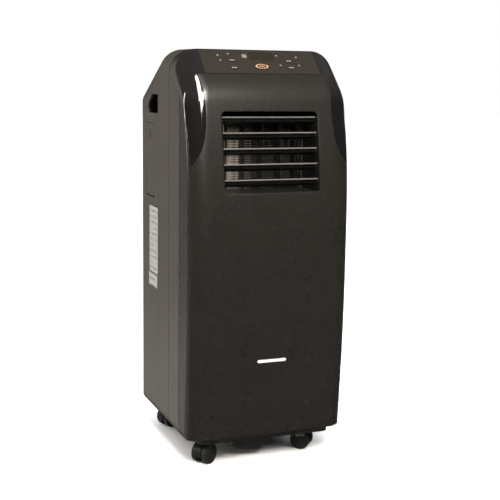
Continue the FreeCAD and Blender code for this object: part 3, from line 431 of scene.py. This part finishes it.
def fascia_round_panel(bm):
    """The sloping part, with the control panel's window left open."""
    hole = PANEL_HALF + GAP
    slope_mid = (PANEL_FOOT[1] + PANEL_HEAD[1]) / 2
    reach = (PANEL_HEAD[1] - PANEL_FOOT[1]) / 2 - LEDGE
    low, high = slope_mid - reach, slope_mid + reach
    turn = [TOP - TOP_CORNER + TOP_CORNER * math.sin(math.radians(a)) for a in range(6, 90, 3)]
    heights = sorted(set([PANEL_FOOT[1], low, high, TOP] + [z for z in turn if z > low + 0.0005]))
    rows = []
    for z in heights:
        width = max(half_width(z), hole + ROOF_STEP)
        inner = min(TAIL[-1][1], width - EDGE_STEP)
        near = [hole + (inner - hole) * i / 5 for i in range(1, 5)]
        right = on_front(near + eased(inner, width, 26), z)
        right += [(width, y, z) for y in steps([(right[-1][1], 14), (SEAM_REAR, 1)])[1:]]
        rows.append(mirrored(right) + on_front(steps([(-hole, 30), (hole, 1)]), z) + right)
    add_grid(bm, rows, lambda c: not (abs(c.x) < hole and low < c.z < high))


def fascia_roof(bm):
    hole = PANEL_HALF + GAP
    places = steps([(-hole - ROOF_STEP, 1), (-hole, 30), (hole, 1), (hole + ROOF_STEP, 1)])
    rows = []
    for t in (0.0, 0.25, 0.5, 0.75, 1.0):
        rows.append([(x, y + (SEAM_REAR - y) * t, z) for x, y, z in on_front(places, TOP)])
    add_grid(bm, rows)


def build_control_fascia():
    bm = bmesh.new()
    fascia_tails(bm)
    fascia_round_panel(bm)
    fascia_roof(bm)
    piece = shell_piece("control_fascia_skin", bm, SKIN, 0.0004)
    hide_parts("control_fascia")
    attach(piece, "cabinet")
    return piece


# ---- materials -------------------------------------------------------------------------------
class Nodes:
    """A small helper for building one node material."""

    def __init__(self, name):
        self.material = bpy.data.materials.new(name)
        self.material.use_nodes = True
        self.tree = self.material.node_tree
        self.shader = self.tree.nodes["Principled BSDF"]
        coordinates = self.add("ShaderNodeTexCoord").outputs
        self.place, self.generated = coordinates["Object"], coordinates["Generated"]

    def add(self, kind, **values):
        node = self.tree.nodes.new(kind)
        for key, value in values.items():
            if hasattr(node, key):
                setattr(node, key, value)
            else:
                node.inputs[key.replace("_", " ").title()].default_value = value
        return node

    def link(self, a, b):
        self.tree.links.new(a, b)

    def noise(self, scale, detail=2.0, roughness=0.5, stretch=None):
        node = self.add("ShaderNodeTexNoise", scale=scale, detail=detail, roughness=roughness)
        source = self.place
        if stretch:
            mapping = self.add("ShaderNodeMapping")
            mapping.inputs["Scale"].default_value = stretch
            self.link(self.place, mapping.inputs["Vector"])
            source = mapping.outputs["Vector"]
        self.link(source, node.inputs["Vector"])
        return node.outputs["Fac"]

    def spread(self, source, low, high, target):
        node = self.add("ShaderNodeMapRange")
        node.inputs["From Min"].default_value = 0.3
        node.inputs["From Max"].default_value = 0.7
        node.inputs["To Min"].default_value = low
        node.inputs["To Max"].default_value = high
        self.link(source, node.inputs["Value"])
        self.link(node.outputs["Result"], target)

    def tint(self, source, dark, light):
        node = self.add("ShaderNodeValToRGB")
        node.color_ramp.elements[0].position = 0.3
        node.color_ramp.elements[1].position = 0.7
        node.color_ramp.elements[0].color = (*dark, 1)
        node.color_ramp.elements[1].color = (*light, 1)
        self.link(source, node.inputs["Fac"])
        self.link(node.outputs["Color"], self.shader.inputs["Base Color"])

    def bump(self, source, strength, distance):
        node = self.add("ShaderNodeBump")
        node.inputs["Strength"].default_value = strength
        node.inputs["Distance"].default_value = distance
        self.link(source, node.inputs["Height"])
        self.link(node.outputs["Normal"], self.shader.inputs["Normal"])


def moulded(name, colour, roughness, grain=900.0, depth=0.00005, vary=0.05, coat=0.0, strength=0.05):
    """Injection moulded plastic: faint mottling, uneven sheen and a fine grain."""
    n = Nodes(name)
    n.tint(n.noise(14.0, 3.0), [c * (1 - vary) for c in colour], [c * (1 + vary) for c in colour])
    n.spread(n.noise(40.0, 4.0), roughness * 0.985, roughness * 1.015, n.shader.inputs["Roughness"])
    n.bump(n.noise(grain, 2.0), strength, depth)
    if coat:
        n.shader.inputs["Coat Weight"].default_value = coat
        n.shader.inputs["Coat Roughness"].default_value = 0.06
    return n


def metal(name, colour, roughness, grain=400.0, stretch=None):
    n = Nodes(name)
    n.shader.inputs["Metallic"].default_value = 1.0
    fine = n.noise(grain, 3.0, stretch=stretch)
    n.tint(fine, [c * 0.85 for c in colour], colour)
    n.spread(fine, roughness * 0.8, roughness * 1.25, n.shader.inputs["Roughness"])
    n.bump(fine, 0.15, 0.0001)
    return n


def marked(n, ink_and_painted_light, mask):
    """Put a second colour where the mask is one, for print and for painted shade and highlights."""
    mix = n.add("ShaderNodeMix", data_type="RGBA")
    base = n.shader.inputs["Base Color"].links[0].from_socket
    n.link(mask, mix.inputs["Factor"])
    n.link(base, mix.inputs["A"])
    mix.inputs["B"].default_value = (*ink_and_painted_light, 1)
    n.link(mix.outputs["Result"], n.shader.inputs["Base Color"])
    return n


def maths(n, operation, a, b=None, c=None):
    node = n.add("ShaderNodeMath", operation=operation)
    for socket, value in zip(node.inputs, (a, b, c)):
        if value is None:
            continue
        if isinstance(value, (int, float)):
            socket.default_value = value
        else:
            n.link(value, socket)
    return node.outputs["Value"]


def across(n, coordinates):
    """The three parts of a coordinate."""
    node = n.add("ShaderNodeSeparateXYZ")
    n.link(coordinates, node.inputs["Vector"])
    return node.outputs


def inside(n, limits):
    """One where every (value, middle, reach) holds."""
    mask = maths(n, "COMPARE", *limits[0])
    for limit in limits[1:]:
        mask = maths(n, "MULTIPLY", mask, maths(n, "COMPARE", *limit))
    return mask


def printed_key(name, colour, ink_and_painted_light, bar):
    """A key with a small light bar in its middle."""
    n = moulded(name, colour, 0.35)
    own = across(n, n.generated)
    return marked(n, ink_and_painted_light, inside(n, [(own["X"], 0.5, bar[0]), (own["Y"], 0.22, bar[1])]))


def ringed_key(name, colour, ink_and_painted_light):
    """The power key: a coloured ring around a short bar."""
    n = moulded(name, colour, 0.3)
    spot = across(n, n.place)
    middle_y, half_wide, half_deep = POWER_KEY
    wide = maths(n, "DIVIDE", spot["X"], half_wide)
    deep = maths(n, "DIVIDE", maths(n, "SUBTRACT", spot["Y"], middle_y), half_deep)
    square = maths(n, "ADD", maths(n, "MULTIPLY", wide, wide), maths(n, "MULTIPLY", deep, deep))
    away = maths(n, "SQRT", square)
    ring = maths(n, "COMPARE", away, 0.80, 0.12)
    bar = inside(n, [(wide, 0.0, 0.40), (deep, 0.0, 0.16)])
    return marked(n, ink_and_painted_light, maths(n, "MAXIMUM", ring, bar))


def blade_with_painted_highlight(name, colour, painted_lip_highlight):
    """A dark louver blade whose paler front lip is a painted highlight, standing in for light catching the
    front edge.
    """
    n = moulded(name, colour, 0.5)
    # painted highlight along the front lip
    return marked(n, painted_lip_highlight, maths(n, "LESS_THAN", across(n, n.generated)["Y"], 0.055))


def side_with_painted_shade(name, colour, dark):
    """The casings' plastic, with painted shade in the groove, the handle's hollow and the line round the
    door.
    """
    n = moulded(name, colour, 0.30, coat=0.25)
    spot = across(n, n.place)
    out = maths(n, "ABSOLUTE", spot["X"])
    # painted shade in the seam groove, the handle's hollow and the gap round the door
    groove_shade = inside(n, [(spot["Y"], SEAM_REAR + 0.00075, 0.0012), (out, 0.0, HALF_WIDTH - 0.0002)])
    hollow_shade = inside(n, [(spot["Y"], HANDLE[0], HANDLE_REACH[0]), (spot["Z"], HANDLE[1], HANDLE_REACH[1]),
                        (out, 0.0, HALF_WIDTH - 0.003)])
    outer = inside(n, [(spot["Y"], DOOR[0], DOOR_OUTER[0]), (spot["Z"], DOOR[1], DOOR_OUTER[1]),
                       (spot["X"], -HALF_WIDTH, 0.002)])
    inner = inside(n, [(spot["Y"], DOOR[0], DOOR_INNER[0]), (spot["Z"], DOOR[1], DOOR_INNER[1])])
    door_gap_shade = maths(n, "SUBTRACT", outer, maths(n, "MULTIPLY", outer, inner))
    return marked(n, dark, maths(n, "MAXIMUM", maths(n, "MAXIMUM", groove_shade, hollow_shade), door_gap_shade))


def lined_label(name, colour, ink_and_painted_light):
    """A paper label with rows of plain grey lines in place of print."""
    n = moulded(name, colour, 0.45, vary=0.02)
    own = across(n, n.generated)
    row = maths(n, "LESS_THAN", maths(n, "FRACT", maths(n, "MULTIPLY", own["Z"], 14.0)), 0.45)
    broken = n.noise(30.0, 2.0, stretch=(1, 3, 8))
    ragged = maths(n, "GREATER_THAN", broken, 0.46)
    inner = maths(n, "COMPARE", own["Y"], 0.5, 0.40)
    return marked(n, ink_and_painted_light, maths(n, "MULTIPLY", maths(n, "MULTIPLY", row, ragged), inner))


def guard_with_painted_shade(name, foam_colour, dark):
    """The outlet's guard, pale near the left; its darkening deeper in to the right and at the top is painted
    shade.
    """
    n = moulded(name, foam_colour, 0.6, vary=0.1)
    spot = across(n, n.place)
    # painted shade over the right part and the top of the guard
    right = maths(n, "MULTIPLY", maths(n, "ADD", spot["X"], 0.035), 40.0)
    high = maths(n, "MULTIPLY", maths(n, "SUBTRACT", spot["Z"], 0.585), 80.0)
    mask = maths(n, "MINIMUM", maths(n, "MAXIMUM", maths(n, "MAXIMUM", right, high), 0.0), 1.0)
    return marked(n, dark, mask)


FINISHES = {
    "charcoal_front": moulded("charcoal_front", (0.0090, 0.0082, 0.0068), 0.275, coat=0.15, strength=0.015),
    # the casings' second colour is painted shade in the groove, the handle's hollow and the door line
    "taupe_side": side_with_painted_shade("taupe_side", (0.037, 0.0315, 0.026), (0.003, 0.003, 0.003)),
    "piano_black": moulded("piano_black", (0.004, 0.004, 0.004), 0.05, strength=0.01, coat=1.0),
    "panel_brown": moulded("panel_brown", (0.0125, 0.0105, 0.0080), 0.35),
    "smoked_window": moulded("smoked_window", (0.008, 0.007, 0.004), 0.08, strength=0.02, coat=1.0),
    "key_grey": printed_key("key_grey", (0.0140, 0.0120, 0.0090), (0.20, 0.19, 0.17), (0.24, 0.045)),
    "power_copper": ringed_key("power_copper", (0.0125, 0.0105, 0.0080), (0.30, 0.17, 0.10)),
    "lamp_clear": moulded("lamp_clear", (0.11, 0.105, 0.09), 0.3),
    # the blades' paler front lip is a painted highlight
    "louver_grey": blade_with_painted_highlight("louver_grey", (0.004, 0.004, 0.0037), (0.075, 0.072, 0.065)),
    # the guard's second colour is painted shade to the right and at the top
    "duct_foam": guard_with_painted_shade("duct_foam", (0.34, 0.30, 0.24), (0.012, 0.012, 0.010)),
    "black_plastic": moulded("black_plastic", (0.010, 0.0098, 0.0095), 0.42),
    "housing_grey": moulded("housing_grey", (0.24, 0.24, 0.235), 0.5),
    "label_white": lined_label("label_white", (0.30, 0.295, 0.28), (0.17, 0.17, 0.165)),
    "badge_silver": moulded("badge_silver", (0.42, 0.42, 0.41), 0.35),
    "zinc_steel": metal("zinc_steel", (0.62, 0.62, 0.60), 0.35, 120.0),
    "pan_plastic": moulded("pan_plastic", (0.010, 0.0098, 0.0092), 0.5),
    "compressor_black": moulded("compressor_black", (0.02, 0.02, 0.02), 0.35),
    "copper": metal("copper", (0.72, 0.38, 0.24), 0.3),
    "coil_fins": metal("coil_fins", (0.70, 0.71, 0.72), 0.35, 300.0, (40, 1, 1)),
    "motor_steel": metal("motor_steel", (0.35, 0.35, 0.36), 0.4),
    "board_green": moulded("board_green", (0.03, 0.13, 0.05), 0.4),
    "filter_mesh": moulded("filter_mesh", (0.05, 0.05, 0.05), 0.7),
    "caster_black": moulded("caster_black", (0.004, 0.004, 0.0037), 0.5),
    "caster_tread": moulded("caster_tread", (0.010, 0.010, 0.0095), 0.5),
}
MATERIALS = {slot: finish.material for slot, finish in FINISHES.items()}


def dress_cad_nodes():
    """Each CAD node takes its slot's material and smooth shading across gentle edges."""
    slots = {s["node"]: s["material_slot"] for s in frame["record"]["subparts"]}
    for name, piece in frame["nodes"].items():
        put_material(piece, MATERIALS[slots[name]])
        for polygon in piece.data.polygons:
            polygon.use_smooth = True
            polygon.material_index = 0
        piece.data.set_sharp_from_angle(angle=math.radians(30))


# ---- stage -----------------------------------------------------------------------------------
def area_light(name, place, target, along, size, power, colour=WARM):
    """A rectangular lamp aimed at a target, its second side lying along a direction."""
    data = bpy.data.lights.new(name, "AREA")
    data.shape = "RECTANGLE"
    data.size, data.size_y = size
    data.energy = power
    data.color = colour
    light = new_object(name, data)
    back = (Vector(place) - Vector(target)).normalized()
    side = Vector(along).cross(back).normalized()
    turned = Matrix((side, back.cross(side), back)).transposed().to_4x4()
    light.matrix_world = Matrix.Translation(place) @ turned
    return light


class WorldNodes:
    """A small helper for building the world's nodes."""

    def __init__(self, tree):
        self.tree = tree

    def add(self, kind, **values):
        node = self.tree.nodes.new(kind)
        for key, value in values.items():
            setattr(node, key, value)
        return node

    def link(self, a, b):
        self.tree.links.new(a, b)

    def rise(self, source, low, high, top):
        """Zero below low, top above high, smooth between."""
        node = self.add("ShaderNodeMapRange", interpolation_type="SMOOTHSTEP")
        for name, value in zip(("From Min", "From Max", "To Min", "To Max"), (low, high, 0.0, top)):
            node.inputs[name].default_value = value
        self.link(source, node.inputs["Value"])
        return node.outputs["Result"]


def build_world():
    """White behind the object; around it a dark studio with a pale left rear and a dim ceiling."""
    world = bpy.data.worlds.new("studio")
    bpy.context.scene.world = world
    world.use_nodes = True
    tree = world.node_tree
    tree.nodes.clear()
    n = WorldNodes(tree)
    way = across(n, n.add("ShaderNodeTexCoord").outputs["Generated"])
    rearward = n.rise(way["Y"], 0.19, 0.29, 1.0)
    leftward = maths(n, "SUBTRACT", 1.0, n.rise(way["X"], -0.35, 0.0, 1.0))
    fade = n.rise(way["Z"], -0.28, -0.18, LEFT_REAR_LOW - LEFT_REAR_HIGH)
    tone = maths(n, "SUBTRACT", LEFT_REAR_LOW, fade)
    below = maths(n, "SUBTRACT", 1.0, n.rise(way["Z"], 0.30, 0.55, 1.0))
    corner = maths(n, "MULTIPLY", rearward, leftward)
    left_rear = maths(n, "MULTIPLY", corner, maths(n, "MULTIPLY", tone, below))
    upward = n.rise(way["Z"], 0.20, 0.75, CEILING)
    strength = maths(n, "ADD", maths(n, "ADD", left_rear, upward), ROOM)

    room = n.add("ShaderNodeBackground")
    room.inputs["Color"].default_value = (*WARM, 1)
    n.link(strength, room.inputs["Strength"])
    backdrop = n.add("ShaderNodeBackground")
    backdrop.inputs["Color"].default_value = (*WHITE, 1)
    mix = n.add("ShaderNodeMixShader")
    n.link(n.add("ShaderNodeLightPath").outputs["Is Camera Ray"], mix.inputs["Fac"])
    n.link(room.outputs["Background"], mix.inputs[1])
    n.link(backdrop.outputs["Background"], mix.inputs[2])
    n.link(mix.outputs["Shader"], n.add("ShaderNodeOutputWorld").inputs["Surface"])


def build_stage():
    bm = bmesh.new()
    bmesh.ops.create_grid(bm, x_segments=4, y_segments=4, size=14.0)
    mesh = bpy.data.meshes.new("floor")
    bm.to_mesh(mesh)
    bm.free()
    floor = new_object("floor", mesh)
    n = Nodes("pale_floor")
    n.tint(n.noise(1.5, 2.0), (0.90, 0.90, 0.90), (0.92, 0.92, 0.92))
    n.spread(n.noise(3.0, 2.0), 0.65, 0.75, n.shader.inputs["Roughness"])
    put_material(floor, n.material)
    floor.visible_glossy = False

    build_world()
    sky = area_light("sky", (0, 0, 10), (0, 0, 0), (0, 1, 0), (40, 40), SKY_POWER, WHITE)
    sky.visible_glossy = False
    for name, (place, target, along, size, power) in STUDIO_LAMPS.items():
        area_light(name, place, target, along, size, power)


def build_camera():
    az, pitch, turn = (math.radians(a) for a in (CAMERA_AZIMUTH, CAMERA_PITCH, CAMERA_ROLL))
    ahead = Vector((-math.sin(az) * math.cos(pitch), math.cos(az) * math.cos(pitch), math.sin(pitch)))
    right = Vector((math.cos(az), math.sin(az), 0))
    up = right.cross(ahead)
    tilted_right = right * math.cos(turn) - up * math.sin(turn)
    tilted_up = right * math.sin(turn) + up * math.cos(turn)
    data = bpy.data.cameras.new("camera")
    data.lens = CAMERA_LENS
    data.sensor_width = 36.0
    camera = new_object("camera", data)
    columns = Matrix((tilted_right, tilted_up, -ahead)).transposed()
    camera.matrix_world = Matrix.Translation(CAMERA_PLACE) @ columns.to_4x4()
    bpy.context.scene.camera = camera


def main():
    dress_cad_nodes()
    put_material(build_front_cover(), MATERIALS["charcoal_front"])
    put_material(build_control_fascia(), MATERIALS["piano_black"])
    build_stage()
    build_camera()
    bpy.context.scene.view_settings.view_transform = "Standard"


main()
